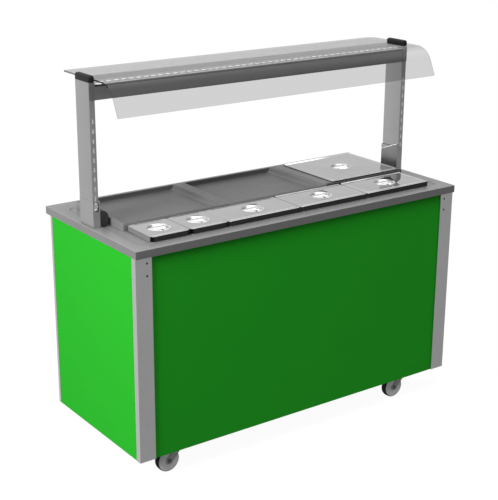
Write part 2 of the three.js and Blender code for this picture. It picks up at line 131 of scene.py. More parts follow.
def card(name, loc, target, size, strength):
    """Bright board that only polished metal reflects."""
    m = bpy.data.materials.new(name)
    m.use_nodes = True
    nt = m.node_tree
    nt.nodes.clear()
    e = nt.nodes.new("ShaderNodeEmission")
    e.inputs["Strength"].default_value = strength
    nt.links.new(e.outputs[0], nt.nodes.new("ShaderNodeOutputMaterial").inputs["Surface"])
    w, h = size[0] / 2, size[1] / 2
    me = bpy.data.meshes.new(name)
    me.from_pydata([(-w, -h, 0), (w, -h, 0), (w, h, 0), (-w, h, 0)], [], [(0, 1, 2, 3)])
    me.materials.append(m)
    o = bpy.data.objects.new(name, me)
    bpy.context.scene.collection.objects.link(o)
    o.location = loc
    o.rotation_euler = (Vector(target) - Vector(loc)).to_track_quat("-Z", "Y").to_euler()
    o.visible_camera = o.visible_diffuse = o.visible_transmission = o.visible_shadow = o.visible_volume_scatter = False


def floor():
    m = bpy.data.materials.new("floor_white")
    m.use_nodes = True
    b = m.node_tree.nodes["Principled BSDF"]
    b.inputs["Base Color"].default_value = (0.045, 0.045, 0.045, 1)
    b.inputs["Roughness"].default_value = 0.9
    b.inputs["Specular IOR Level"].default_value = 0.0
    b.inputs["Emission Color"].default_value = (1, 1, 1, 1)
    b.inputs["Emission Strength"].default_value = 0.955
    me = bpy.data.meshes.new("floor")
    s = 40
    me.from_pydata([(-s, -s, 0), (s, -s, 0), (s, s, 0), (-s, s, 0)], [], [(0, 1, 2, 3)])
    me.materials.append(m)
    o = bpy.data.objects.new("floor", me)
    bpy.context.scene.collection.objects.link(o)
    o.visible_diffuse = False
    o.visible_glossy = False


# ------------------------------------------------------------------ materials
def base(name):
    m = bpy.data.materials.new(name)
    m.use_nodes = True
    nt = m.node_tree
    return m, nt, nt.nodes["Principled BSDF"]


def noise(nt, scale, detail=3.0, stretch=(1, 1, 1), rough=0.55):
    tc = nt.nodes.new("ShaderNodeTexCoord")
    mp = nt.nodes.new("ShaderNodeMapping")
    mp.inputs["Scale"].default_value = stretch
    n = nt.nodes.new("ShaderNodeTexNoise")
    n.inputs["Scale"].default_value = scale
    n.inputs["Detail"].default_value = detail
    n.inputs["Roughness"].default_value = rough
    nt.links.new(tc.outputs["Object"], mp.inputs["Vector"])
    nt.links.new(mp.outputs["Vector"], n.inputs["Vector"])
    return n.outputs["Fac"]


def ranged(nt, socket, lo, hi, a=0.3, b=0.7):
    r = nt.nodes.new("ShaderNodeMapRange")
    r.inputs["From Min"].default_value = a
    r.inputs["From Max"].default_value = b
    r.inputs["To Min"].default_value = lo
    r.inputs["To Max"].default_value = hi
    nt.links.new(socket, r.inputs["Value"])
    return r.outputs["Result"]


def mixed(nt, fac, c0, c1):
    x = nt.nodes.new("ShaderNodeMix")
    x.data_type = "RGBA"
    x.inputs["A"].default_value = (*c0, 1)
    x.inputs["B"].default_value = (*c1, 1)
    nt.links.new(fac, x.inputs["Factor"])
    return x.outputs["Result"]


def bump(nt, b, socket, strength, distance):
    n = nt.nodes.new("ShaderNodeBump")
    n.inputs["Strength"].default_value = strength
    n.inputs["Distance"].default_value = distance
    nt.links.new(socket, n.inputs["Height"])
    nt.links.new(n.outputs["Normal"], b.inputs["Normal"])


def steel(name, colour, rough, axis="x", streak=0.04, vary=0.06, metal=1.0, tint=(1, 1, 1)):
    """Brushed stainless: fine scratches along one axis, and faint broad marks from cleaning."""
    m, nt, b = base(name)
    s = {"x": (1.2, 60, 60), "y": (60, 1.2, 60), "z": (60, 60, 1.2), "o": (14, 14, 14)}[axis]
    grain = noise(nt, 16, 5.0, s, 0.65)
    marks = noise(nt, 7, 4.0, (1, 1, 1), 0.6)
    c = [colour * t for t in tint]
    nt.links.new(mixed(nt, ranged(nt, grain, 0, 1, 0.25, 0.75), [v * (1 - vary) for v in c], [min(1, v * (1 + vary)) for v in c]), b.inputs["Base Color"])
    g = ranged(nt, grain, rough - streak, rough + streak)
    add = nt.nodes.new("ShaderNodeMath")
    add.operation = "ADD"
    nt.links.new(g, add.inputs[0])
    nt.links.new(ranged(nt, marks, -0.03, 0.05), add.inputs[1])
    nt.links.new(add.outputs[0], b.inputs["Roughness"])
    b.inputs["Metallic"].default_value = metal
    bump(nt, b, grain, 0.12 if axis != "o" else 0.04, 0.0002)
    return m


def polished(name, colour, rough, metal=1.0):
    m, nt, b = base(name)
    haze = noise(nt, 30, 4.0, (1, 1, 1), 0.6)
    wipe = noise(nt, 9, 3.0, (1, 4, 1), 0.5)
    nt.links.new(mixed(nt, ranged(nt, haze, 0, 1), (colour * 0.97,) * 3, (min(1, colour * 1.03),) * 3), b.inputs["Base Color"])
    nt.links.new(ranged(nt, wipe, rough * 0.75, rough * 1.4), b.inputs["Roughness"])
    b.inputs["Metallic"].default_value = metal
    bump(nt, b, wipe, 0.02, 0.001)
    return m


def paint(name, colour, rough):
    m, nt, b = base(name)
    broad = noise(nt, 2.5, 2.0)
    peel = noise(nt, 420, 2.0)
    nt.links.new(mixed(nt, ranged(nt, broad, 0, 1), [v * 0.985 for v in colour], [v * 1.015 for v in colour]), b.inputs["Base Color"])
    nt.links.new(ranged(nt, broad, rough - 0.03, rough + 0.03), b.inputs["Roughness"])
    b.inputs["Specular IOR Level"].default_value = 0.05
    bump(nt, b, peel, 0.06, 0.0003)
    return m


def plastic(name, colour, rough, grain=700, strength=0.25, spec=0.4):
    m, nt, b = base(name)
    g = noise(nt, grain, 2.0)
    w = noise(nt, 25, 3.0)
    nt.links.new(mixed(nt, ranged(nt, w, 0, 1), [v * 0.85 for v in colour], [v * 1.2 for v in colour]), b.inputs["Base Color"])
    nt.links.new(ranged(nt, w, rough - 0.05, rough + 0.06), b.inputs["Roughness"])
    b.inputs["Specular IOR Level"].default_value = spec
    bump(nt, b, g, strength, 0.0003)
    return m


def zinc(name, colour, rough):
    m, nt, b = base(name)
    tc = nt.nodes.new("ShaderNodeTexCoord")
    v = nt.nodes.new("ShaderNodeTexVoronoi")
    v.inputs["Scale"].default_value = 160
    nt.links.new(tc.outputs["Object"], v.inputs["Vector"])
    bw = nt.nodes.new("ShaderNodeRGBToBW")
    nt.links.new(v.outputs["Color"], bw.inputs["Color"])
    nt.links.new(mixed(nt, bw.outputs[0], (colour * 0.85,) * 3, (colour * 1.1, colour * 1.1, colour * 1.14)), b.inputs["Base Color"])
    nt.links.new(ranged(nt, bw.outputs[0], rough - 0.06, rough + 0.08, 0, 1), b.inputs["Roughness"])
    b.inputs["Metallic"].default_value = 1.0
    return m


def glass(name, tint):
    """Clear sheet seen through, with its own gloss. Each face takes its share of the tint."""
    m, nt, b = base(name)
    nt.nodes.remove(b)
    out = nt.nodes["Material Output"]
    clear = nt.nodes.new("ShaderNodeBsdfTransparent")
    clear.inputs["Color"].default_value = (*tint, 1)
    shine = nt.nodes.new("ShaderNodeBsdfPrincipled")
    shine.inputs["Base Color"].default_value = (0.9, 0.9, 0.9, 1)
    shine.inputs["Metallic"].default_value = 1.0
    smear = noise(nt, 6, 3.0, (1, 3, 1))
    nt.links.new(ranged(nt, smear, 0.02, 0.07), shine.inputs["Roughness"])
    # share of gloss rises towards grazing angles, the same from both sides of a face
    lw = nt.nodes.new("ShaderNodeLayerWeight")
    lw.inputs["Blend"].default_value = 0.5
    pw = nt.nodes.new("ShaderNodeMath")
    pw.operation = "POWER"
    pw.inputs[1].default_value = 5.0
    ml = nt.nodes.new("ShaderNodeMath")
    ml.operation = "MULTIPLY_ADD"
    ml.inputs[1].default_value, ml.inputs[2].default_value = 0.98, 0.014
    nt.links.new(lw.outputs["Facing"], pw.inputs[0])
    nt.links.new(pw.outputs[0], ml.inputs[0])
    mix = nt.nodes.new("ShaderNodeMixShader")
    nt.links.new(ml.outputs[0], mix.inputs[0])
    nt.links.new(clear.outputs[0], mix.inputs[1])
    nt.links.new(shine.outputs[0], mix.inputs[2])
    nt.links.new(mix.outputs[0], out.inputs["Surface"])
    return m


def glow(name, colour, strength):
    m, nt, b = base(name)
    n = noise(nt, 60, 2.0)
    nt.links.new(mixed(nt, ranged(nt, n, 0, 1), [v * 0.9 for v in colour], colour), b.inputs["Base Color"])
    b.inputs["Roughness"].default_value = 0.25
    b.inputs["Emission Color"].default_value = (*colour, 1)
    b.inputs["Emission Strength"].default_value = strength
    return m


MAT = {
    "worktop": steel("worktop_top", 0.206, 0.36, "x", 0.04, 0.05, 0.28),
    "skirt": steel("worktop_skirt", 0.29, 0.42, "x"),
    # lighter copy of the skirt steel for the end faces: painted light
    "skirt_end_painted_light": steel("worktop_skirt_end", 0.46, 0.42, "y"),
    "well": steel("well_dull", 0.32, 0.45, "x"),
    "pan": steel("pan_satin", 0.55, 0.30, "x"),
    "lid": polished("lid_bright", 0.72, 0.05),
    "bowl": polished("bowl_bright", 0.90, 0.12, 0.74),
    "handle": polished("handle_bright", 0.95, 0.04),
    # dark copy of the lid steel for the uprights and pressed lines: painted shade
    "lid_side": steel("lid_side", 0.07, 0.40, "x"),
    # darker copy of the lid steel for the lid ends: painted shade
    "lid_end_painted_shade": steel("lid_end_painted_shade", 0.155, 0.30, "y", 0.04, 0.05, 0.3),
    # near-black steel laid on the ring's front ledge and upright: painted shadow
    "gap_dark": steel("ledge_shadowed", 0.03, 0.6, "x", 0.04, 0.05, 0.2),
    "tray": steel("tray_satin", 0.118, 0.36, "x", 0.04, 0.05, 0.40),
    # lighter copy of the tray steel for the rear top band: painted light
    "tray_rim_painted_light": steel("tray_rim_satin", 0.145, 0.36, "x", 0.04, 0.05, 0.45),
    "ring": steel("ring_satin", 0.172, 0.36, "x", 0.04, 0.05, 0.45),
    # lighter copy of the tray steel for the front upright and left end: painted light
    "tray_end_painted_light": steel("tray_end_painted_light", 0.20, 0.36, "y", 0.04, 0.05, 0.4),
    # darker copy of the tray steel for its front-facing walls: painted shade
    "tray_painted_shade": steel("tray_upright_painted_shade", 0.085, 0.42, "x", 0.04, 0.05, 0.6),
    "trim": steel("trim_satin", 0.78, 0.42, "z"),
    "door": steel("door_satin", 0.56, 0.38, "z"),
    "fascia": steel("fascia_satin", 0.56, 0.38, "x"),
    "gantry": steel("gantry_satin", 0.57, 0.38, "z"),
    "socket": steel("socket_satin", 0.41, 0.40, "z"),
    "beam": steel("beam_satin", 0.35, 0.40, "x"),
    # dark strip under the beam's lip: painted shadow line
    "beam_painted_shadow_line": steel("beam_edge_shadowed", 0.12, 0.45, "x"),
    # darker copy of the beam steel for its flat top: painted shade
    "beam_flat_painted_shade": steel("beam_flat_satin", 0.25, 0.36, "x"),
    # lighter copy of the beam steel for its sloping top: painted light
    "beam_top_painted_light": steel("beam_top_satin", 0.43, 0.34, "x"),
    "base": steel("chassis_dull", 0.35, 0.50, "x"),
    "green": paint("green_paint", (0.0125, 0.274, 0.0125), 0.62),
    "black": plastic("black_moulded", (0.009, 0.009, 0.009), 0.50, 700, 0.25, 0.2),
    "boot": plastic("boot_moulded", (0.040, 0.040, 0.040), 0.60),
    # near-black finish for the lids' rounded front corners: painted shadow
    "gap_painted_shadow": plastic("gap_painted_shadow", (0.004, 0.004, 0.004), 0.7, 700, 0.1, 0.05),
    "rubber": plastic("tyre_rubber", (0.012, 0.012, 0.012), 0.75, 500, 0.4, 0.2),
    "disc": plastic("wheel_grey", (0.62, 0.62, 0.63), 0.5, 600, 0.15, 0.3),
    "zinc": zinc("zinc_plate", 0.34, 0.38),
    "screw": steel("screw_dark", 0.10, 0.45, "o"),
    "chrome": polished("chrome_bright", 0.9, 0.06),
    "glass": glass("screen_clear", (0.805, 0.805, 0.805)),
    "glass_edge": glass("screen_edge", (0.72, 0.74, 0.73)),
    "glass_edge_left": glass("screen_edge_dark", (0.30, 0.31, 0.31)),
    "glass_edge_front": glass("screen_edge_deep", (0.06, 0.065, 0.065)),
    "reflector": polished("reflector_bright", 0.82, 0.12),
    "quartz": glow("quartz_tube", (0.92, 0.86, 0.76), 0.1),
    "element": zinc("element_sheath", 0.30, 0.4),
    "lamp_green": glow("pilot_green", (0.02, 0.45, 0.06), 0.3),
    "lamp_amber": glow("pilot_amber", (0.8, 0.25, 0.02), 0.3),
    "mark": plastic("mark_white", (0.75, 0.75, 0.75), 0.5),
    # glowing backing seen through the post slots: painted light
    "slot_back": glow("slot_backing_painted_light", (0.60, 0.60, 0.60), 0.35),
    # glowing strip seen through the beam slots: painted light
    "strip_light": glow("opal_glow_painted_light", (0.9, 0.9, 0.9), 1.9),
    # glowing finish on the beam lip and the socket edge: painted highlight
    "lip": glow("lip_painted_highlight", (0.75, 0.75, 0.75), 0.15),
}


# ------------------------------------------------------------------ mesh building, in millimetres
class Build:
    """Collects closed shells, then makes one object of them."""

    def __init__(self):
        self.v, self.f, self.m = [], [], []

    def add(self, verts, faces, mi=0):
        n = len(self.v)
        self.v += [tuple(p) for p in verts]
        self.f += [[i + n for i in f] for f in faces]
        self.m += mi if isinstance(mi, list) else [mi] * len(faces)

    def loft(self, rings, mi=0, caps=(True, True), loop=False):
        n = len(rings[0])
        verts = [p for r in rings for p in r]
        faces, mm = [], []
        last = len(rings) if loop else len(rings) - 1
        for k in range(last):
            a, b = k * n, ((k + 1) % len(rings)) * n
            for i in range(n):
                j = (i + 1) % n
                faces.append([a + i, a + j, b + j, b + i])
                mm.append(mi[k] if isinstance(mi, list) else mi)
        if not loop:
            if caps[0]:
                faces.append(list(range(n))[::-1])
                mm.append(mi[0] if isinstance(mi, list) else mi)
            if caps[1]:
                faces.append([(len(rings) - 1) * n + i for i in range(n)])
                mm.append(mi[-1] if isinstance(mi, list) else mi)
        self.add(verts, faces, mm)

    def bm(self, b, mi=0):
        b.verts.index_update()
        self.add([v.co[:] for v in b.verts], [[v.index for v in f.verts] for f in b.faces], mi)
        b.free()

    def box(self, x0, x1, y0, y1, z0, z1, r=0.8, seg=2, mi=0):
        b = bmesh.new()
        bmesh.ops.create_cube(b, size=1)
        for v in b.verts:
            v.co = Vector(((x0 + x1) / 2 + v.co.x * (x1 - x0), (y0 + y1) / 2 + v.co.y * (y1 - y0), (z0 + z1) / 2 + v.co.z * (z1 - z0)))
        if r > 0:
            bmesh.ops.bevel(b, geom=b.edges[:], offset=r, segments=seg, profile=0.5, affect="EDGES", clamp_overlap=True)
        self.bm(b, mi)

    def prism(self, pts, axis, a, b_, r=0.5, seg=2, mi=0):
        """Outline extruded along axis from a to b_, with its sharp edges rounded by r."""
        put = {"x": lambda p, q, h: (h, p, q), "y": lambda p, q, h: (p, h, q), "z": lambda p, q, h: (p, q, h)}[axis]
        b = bmesh.new()
        lo = [b.verts.new(put(p, q, a)) for p, q in pts]
        hi = [b.verts.new(put(p, q, b_)) for p, q in pts]
        n = len(pts)
        b.faces.new(lo[::-1])
        b.faces.new(hi)
        for i in range(n):
            b.faces.new([lo[i], lo[(i + 1) % n], hi[(i + 1) % n], hi[i]])
        bmesh.ops.recalc_face_normals(b, faces=b.faces[:])
        if r > 0:
            sharp = [e for e in b.edges if e.calc_face_angle(0) > math.radians(28)]
            bmesh.ops.bevel(b, geom=sharp, offset=r, segments=seg, profile=0.5, affect="EDGES", clamp_overlap=True)
        self.bm(b, mi)

    def lathe(self, prof, axis, c, n=48, mi=0):
        """Closed turned solid. prof is [radius, height] from axis to axis, or a closed section off the axis."""
        def put(r, h, a):
            p, q = r * math.cos(a), r * math.sin(a)
            return {"z": (c[0] + p, c[1] + q, c[2] + h), "y": (c[0] + p, c[1] + h, c[2] + q), "x": (c[0] + h, c[1] + p, c[2] + q)}[axis]
        on_axis = prof[0][0] < 1e-6 and prof[-1][0] < 1e-6
        verts, faces, mm = [], [], []
        inner = prof[1:-1] if on_axis else prof
        mk = mi if isinstance(mi, list) else [mi] * len(prof)
        for r, h in inner:
            verts += [put(r, h, 2 * math.pi * i / n) for i in range(n)]
        k = len(inner)
        for s in range(k - 1 if on_axis else k):
            a, b = s * n, ((s + 1) % k) * n
            for i in range(n):
                faces.append([a + i, a + (i + 1) % n, b + (i + 1) % n, b + i])
                mm.append(mk[min(s + (1 if on_axis else 0), len(mk) - 1)])
        if on_axis:
            verts += [put(0, prof[0][1], 0), put(0, prof[-1][1], 0)]
            p, q = k * n, k * n + 1
            for i in range(n):
                faces.append([p, (i + 1) % n, i])
                mm.append(mk[0])
                faces.append([q, (k - 1) * n + i, (k - 1) * n + (i + 1) % n])
                mm.append(mk[-1])
        self.add(verts, faces, mm)

    def tube(self, pts, r, n=12, mi=0, flat=1.0, up=(0, 0, 1)):
        """Round (or flattened) bar along points, closed at both ends."""
        pts = [Vector(p) for p in pts]
        rings = []
        for i, p in enumerate(pts):
            t = (pts[min(i + 1, len(pts) - 1)] - pts[max(i - 1, 0)]).normalized()
            side = t.cross(Vector(up))
            side = side.normalized() if side.length > 1e-6 else Vector((1, 0, 0))
            nn = side.cross(t).normalized()
            rr = r[i] if isinstance(r, (list, tuple)) else r
            rings.append([p + side * (rr * math.cos(a)) + nn * (rr * flat * math.sin(a)) for a in [2 * math.pi * k / n for k in range(n)]])
        self.loft(rings, mi)

    def make(self, name, mats, body, replaces=(), smooth=38, weld=True):
        me = bpy.data.meshes.new(name)
        me.from_pydata([(x * MM, y * MM, z * MM) for x, y, z in self.v], [], self.f)
        mats = mats if isinstance(mats, (list, tuple)) else [mats]
        for k in mats:
            me.materials.append(MAT[k])
        me.polygons.foreach_set("material_index", self.m)
        b = bmesh.new()
        b.from_mesh(me)
        if weld:
            bmesh.ops.remove_doubles(b, verts=b.verts[:], dist=2e-6)
            bmesh.ops.dissolve_degenerate(b, edges=b.edges[:], dist=1e-6)
        bmesh.ops.recalc_face_normals(b, faces=b.faces[:])
        b.to_mesh(me)
        b.free()
        o = bpy.data.objects.new(name, me)
        bpy.context.scene.collection.objects.link(o)
        shade(o, smooth)
        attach(o, body)
        if replaces:
            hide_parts(*([replaces] if isinstance(replaces, str) else replaces))
        return o


def shade(o, deg=38):
    me = o.data
    me.shade_smooth()
    me.set_sharp_from_angle(angle=math.radians(deg))


def cut(o, cutters):
    """Cuts the cutters' shells out of o and leaves a plain mesh."""
    me = bpy.data.meshes.new("cutter")
    me.from_pydata([(x * MM, y * MM, z * MM) for x, y, z in cutters.v], [], cutters.f)
    b = bmesh.new()
    b.from_mesh(me)
    bmesh.ops.recalc_face_normals(b, faces=b.faces[:])
    b.to_mesh(me)
    b.free()
    c = bpy.data.objects.new("cutter", me)
    bpy.context.scene.collection.objects.link(c)
    mod = o.modifiers.new("cut", "BOOLEAN")
    mod.operation, mod.solver, mod.object = "DIFFERENCE", "EXACT", c
    dg = bpy.context.evaluated_depsgraph_get()
    new = bpy.data.meshes.new_from_object(o.evaluated_get(dg))
    o.modifiers.clear()
    old = o.data
    o.data = new
    new.name = old.name
    bpy.data.objects.remove(c)
    shade(o, 30)
    return o


def ring(x0, x1, y0, y1, r, z, n=6, m=1):
    """Rounded rectangle, counter-clockwise from above, with m spans in each straight side."""
    r = max(r, 0.02)
    pts = []
    cs = ((x1 - r, y0 + r, -90), (x1 - r, y1 - r, 0), (x0 + r, y1 - r, 90), (x0 + r, y0 + r, 180))
    for k, (cx, cy, a0) in enumerate(cs):
        for i in range(n + 1):
            a = math.radians(a0 + 90 * i / n)
            pts.append((cx + r * math.cos(a), cy + r * math.sin(a), z))
        if m > 1:
            nx, ny, na = cs[(k + 1) % 4]
            a, b = math.radians(na), pts[-1]
            e = (nx + r * math.cos(a), ny + r * math.sin(a))
            for i in range(1, m):
                pts.append((b[0] + (e[0] - b[0]) * i / m, b[1] + (e[1] - b[1]) * i / m, z))
    return pts


def inset(box, d, r, z, n=6, m=1):
    x0, x1, y0, y1 = box
    return ring(x0 + d, x1 - d, y0 + d, y1 - d, max(r - d, 0.05), z, n, m)


def circle(cx, cy, r, z, like):
    """Circle with the same count and start as the ring like, evenly spaced."""
    n = len(like)
    a0 = math.atan2(like[0][1] - cy, like[0][0] - cx)
    return [(cx + r * math.cos(a0 + 2 * math.pi * i / n), cy + r * math.sin(a0 + 2 * math.pi * i / n), z) for i in range(n)]


def keep(node, mat, bevel=0.0, seg=2, angle=30, smooth=35):
    """A CAD node that is shown as it is, with a finish and, where asked, softened edges."""
    o = NODES[node]
    o.data.materials.clear()
    o.data.materials.append(MAT[mat])
    w = o.modifiers.new("weld", "WELD")
    w.merge_threshold = 2e-6
    if bevel > 0:
        b = o.modifiers.new("edge", "BEVEL")
        b.width, b.segments, b.limit_method = bevel * MM, seg, "ANGLE"
        b.angle_limit = math.radians(angle)
        b.use_clamp_overlap = True
        b.harden_normals = False
    for p in o.data.polygons:
        p.use_smooth = False
    return o


camera()
world()
key = area("key", (-4.2, -0.75, 2.4), (0, 0, 0.7), (1.3, 1.1), 262)
key.visible_glossy = False
top = area("top", (0.4, -1.25, 5.2), (0, 0, 0.7), (1.6, 1.2), 81)
top.visible_glossy = False
card("card_front", (-1.2, -4.4, 4.1), (0, 0, 0.9), (7.0, 3.4), 1.5)
floor()
bpy.context.scene.view_settings.view_transform = "Standard"

# ------------------------------------------------------------------ worktop
X0, X1, Y0, Y1, ZB, ZT = bx("worktop")
WELLB = bx("well_tank")          # flange of the well under the worktop
wx0, wx1, wy0, wy1 = WELLB[0] + 16, WELLB[1] - 16, WELLB[2] + 16, WELLB[3] - 16
RX0, RX1, RY0, RY1 = X0 + 50, X1 - 50, Y0 + 45, Y0 + 596
b = Build()
B = (X0, X1, Y0, Y1)
R = (RX0, RX1, RY0, RY1)
rings = [
    ring(wx0, wx1, wy0, wy1, 0.3, ZT - 5, 8),
    inset(B, 2, 2.2, ZT - 5, 8), inset(B, 2, 2.2, ZB, 8),
    inset(B, 0, 2.2, ZB, 8), inset(B, 0, 2.2, ZT - 2.4, 8), inset(B, 0.35, 2.2, ZT - 1.0, 8), inset(B, 1.1, 2.2, ZT - 0.3, 8),
    inset(B, 2.6, 4.2, ZT, 8),
    inset(R, -3.4, 35, ZT, 8), inset(R, -2.2, 35, ZT - 0.25, 8), inset(R, -1.2, 35, ZT - 0.9, 8), inset(R, -0.4, 35, ZT - 2.2, 8),
    inset(R, 0.6, 35, ZT - 2.85, 8), inset(R, 1.8, 35, ZT - 3, 8),
    ring(wx0, wx1, wy0, wy1, 0.3, ZT - 3, 8),
]
b.loft(rings, [0, 1, 1, 1, 1, 0, 0, 0, 0, 0, 0, 0, 0, 0], loop=False, caps=(False, False))
n = len(rings[0])
a0, a1 = 0, (len(rings) - 1) * n
b.f += [[a1 + i, a1 + (i + 1) % n, a0 + (i + 1) % n, a0 + i] for i in range(n)]
b.m += [0] * n
o = b.make("worktop_sheet", ["worktop", "skirt", "skirt_end_painted_light"], "frame", "worktop", smooth=32)
# painted light: skirt faces that look along X take the lighter end copy of the skirt steel
for p in o.data.polygons:
    if p.material_index == 1 and abs(p.normal.x) > 0.97:
        p.material_index = 2

keep("well_tank", "well", 0)
keep("well_divider", "pan", 0.4)
keep("base_plate", "base", 0.5)
keep("cupboard_liner", "well", 0.4)
keep("cupboard_shelf", "pan", 0.5)
keep("door_top_track", "well", 0.25)
keep("door_bottom_track", "well", 0.25)
keep("drain_pipe", "zinc", 0.5)
keep("drain_lever", "black", 1.2)

# ------------------------------------------------------------------ pans and lids
def smooth01(t):
    return t * t * (3 - 2 * t)


def pan(i):
    x0, x1, y0, y1, z0, z1 = bx(f"pan_{i}")
    fl = 13 if i == 6 else 12
    rim = 1.4 if i == 6 else 2.7
    A = (x0, x1, y0, y1)
    t = 1.2
    rg = []
    def outer(d, z):
        return inset(A, d, 10 + d + 2, z, 6)
    dpt = z1 - z0
    rg.append(outer(fl + 22, z0))
    for k in range(1, 6):
        a = math.pi / 2 * k / 5
        rg.append(outer(fl + 22 - 14 * math.sin(a), z0 + 14 * (1 - math.cos(a))))
    rg += [outer(fl + 1, z1 - 8), outer(fl, z1 - 3), outer(fl - 0.8, z1 - rim), inset(A, 1.2, 10, z1 - rim), inset(A, 0.2, 10, z1 - rim), inset(A, 0, 10, z1 - rim + 0.3), inset(A, 0, 10, z1 - 0.9), inset(A, 0.3, 10, z1 - 0.4), inset(A, 1.0, 10, z1)]
    rg += [inset(A, fl - 1.5, 20, z1), inset(A, fl + 0.4, 22, z1 - 0.7), outer(fl + t, z1 - 3), outer(fl + 1 + t, z1 - 8)]
    for k in range(5, -1, -1):
        a = math.pi / 2 * k / 5
        rg.append(outer(fl + 22 + t - 14 * math.sin(a), z0 + 1.5 + 14 * (1 - math.cos(a))))
    b = Build()
    b.loft(rg)
    b.make(f"food_pan_{i}", "pan", f"pan_{i}", f"pan_{i}", smooth=40)


def lid(i):
    x0, x1, y0, y1, z0, z1 = bx(f"lid_{i}")
    zt = z1 - 4
    zs = z0 if i < 6 else bx("pan_frame")[5] + 2.1
    corner = 15 if i < 3 else (6 if i == 6 else 8)
    rb = 1.2 if i < 3 else (2.6 if i < 6 else 1.3)
    A = (x0, x1, y0, y1)
    cx, cy = (x0 + x1) / 2, (y0 + y1) / 2
    N, M_ = 6, 6
    def q(d, z, r=None):
        return inset(A, d, corner if r is None else r, z, N, M_)
    like = q(20, zt, 24)
    def c(r, z):
        return circle(cx, cy, r, z, like)
    rg = [c(26, zt - 15.2), c(32, zt - 14.6), c(36, zt - 12), c(40, zt - 6), c(43, zt - 2.4), c(47, zt - 1.4), q(6, zt - 1.4), q(rb + 0.6, zt - 1.5), q(1.3, zt - rb - 1.4), q(1.3, zs), q(0, zs), q(0, zt - rb)]
    # the uprights take the dark copy of the lid steel: painted shade of the gap under the lid
    mats = [0] * 8 + [1, 1, 1]
    for k in range(1, 5):
        a = math.pi / 2 * k / 4
        rg.append(q(rb * (1 - math.cos(a)), zt - rb * (1 - math.sin(a))))
        mats.append(1 if k == 1 else 0)
    # shallow pressed line set in from the edge
    for d, dz in ((11.0, 0), (11.8, -0.15), (12.6, -0.75), (13.4, -0.75), (14.2, -0.15), (15.0, 0)):
        rg.append(q(d, zt + dz, max(corner, 8) + 8))
        mats.append(0)
    rg.append(like)
    mats.append(0)
    bowl = len(mats) + 4
    prof = [(46.6, 0), (45.6, 0.25), (44.6, 0.25), (43.6, -0.3), (42.8, -1.6), (41.6, -4.2), (39.6, -7.4), (36.6, -10.4), (32.5, -12.6), (27, -13.7), (18, -14.0), (8, -13.2), (3, -12.9)]
    for r, dz in prof:
        rg.append(c(r, zt + dz))
        mats.append(0)
    b = Build()
    mats = [3 if k >= bowl else v for k, v in enumerate(mats)]
    b.loft(rg, mats[:len(rg) - 1])
    o = b.make(f"pan_lid_{i}", ["lid", "lid_side", "lid_end_painted_shade", "bowl", "gap_painted_shadow"], f"lid_{i}", f"lid_{i}", smooth=35)
    for f in o.data.polygons:            # painted shade: the ends take a darker copy of the lid steel, and the front and back uprights a darker one still
        if f.material_index == 1 and abs(f.normal.x) > 0.97:
            f.material_index = 2
        elif i < 3 and f.material_index in (1, 2) and abs(f.normal.x) > 0.2 and f.normal.y < -0.25:
            f.material_index = 4         # painted shadow: rounded front corners over the gap between the lids go near black
    b = Build()
    if i < 4:
        # fine pressed line in front of the back edge, dark as painted shade of the crease
        b.box(x0 + 26, x1 - 26, y1 - 15, y1 - 13.2, zt - 0.4, zt + 0.25, 0.2, 1)
        b.make(f"lid_line_{i}", "lid_side", f"lid_{i}")
    else:
        # ridge along the back edge, sloping up from the top
        w = {6: 15.0, 5: 8.0}.get(i, 3.6)
        h = w * 0.26
        b.prism([(y1 - 4.6 - w, zt - 1.2), (y1 - 4.6 - w, zt + 0.02), (y1 - 4.6, zt + h), (y1 - 3.4, zt + h + 0.1), (y1 - 1.8, zt + h - 0.9), (y1 - 1.2, zt - 1.2), (y1 - 1.2, zt - 3.4), (y1 - 3, zt - 3.4), (y1 - 5, zt - 1.2)], "x", x0 + 3.5, x1 - 3.5, 0.35, 2)
        b.make(f"lid_ridge_{i}", "handle", f"lid_{i}", smooth=20)
    # bridge handle over the bowl
    b = Build()
    pts, n = [], 16
    for k in range(n + 1):
        s = -1 + 2 * k / n
        pts.append((cx + 45.6 * s, cy, zt - 1.0 + 3.3 * (1 - abs(s) ** 3)))
    rad = [8.6 - 1.2 * (1 - abs(-1 + 2 * k / n)) for k in range(n + 1)]
    b.tube(pts, rad, 20, flat=0.2)
    b.make(f"lid_handle_{i}", "handle", f"lid_{i}", smooth=60)


for i in range(1, 7):
    pan(i)
    lid(i)

# ------------------------------------------------------------------ rear trays and adaptor ring
DISH = {"tray_left": (96, 518, 112, 502), "tray_right": (565, 995, 581, 979)}


